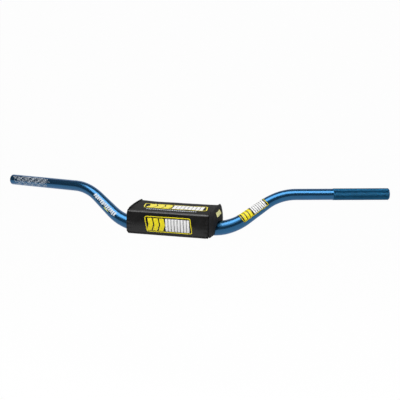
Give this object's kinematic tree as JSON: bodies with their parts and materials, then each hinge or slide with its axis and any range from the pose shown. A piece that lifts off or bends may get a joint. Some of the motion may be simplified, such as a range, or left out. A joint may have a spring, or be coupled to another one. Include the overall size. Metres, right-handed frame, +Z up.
{
  "type": "motocross handlebar",
  "caption": "Wide hollow handlebar, tapered from a thick clamping length through double bends to swept grips, with a knurled grip seat and a strapped square foam pad.",
  "frame": {"origin": "the tube's axis in the middle of its clamping length", "axes": "+X along the clamping length to the rider's left, +Y back to the rider, +Z up, with the risers leaning back as on a motorcycle"},
  "size_m": [0.8239, 0.1667, 0.0983],
  "materials": {
    "bar_anodised": "blue anodised, satin bright",
    "decal_film": "glossy printed film",
    "foam": "closed-cell foam",
    "cover_vinyl": "black coated vinyl, low sheen",
    "seam_welt": "black coated vinyl",
    "lining_cloth": "woven nylon",
    "tape": "hook and loop tape",
    "strap_web": "woven webbing"
  },
  "bodies": {
    "root": {"handlebar_tube": "bar_anodised", "riser_decal": "decal_film", "pad_foam": "foam", "pad_cover": "cover_vinyl", "end_panel_left": "cover_vinyl", "end_panel_right": "cover_vinyl", "seam_welt_left": "seam_welt", "seam_welt_right": "seam_welt", "front_lining": "lining_cloth", "flap_hook_tape": "tape", "lining_loop_tape": "tape", "bottom_strap": "strap_web", "strap_loop_tape": "tape", "strap_hook_tape": "tape"}
  },
  "joints": []
}
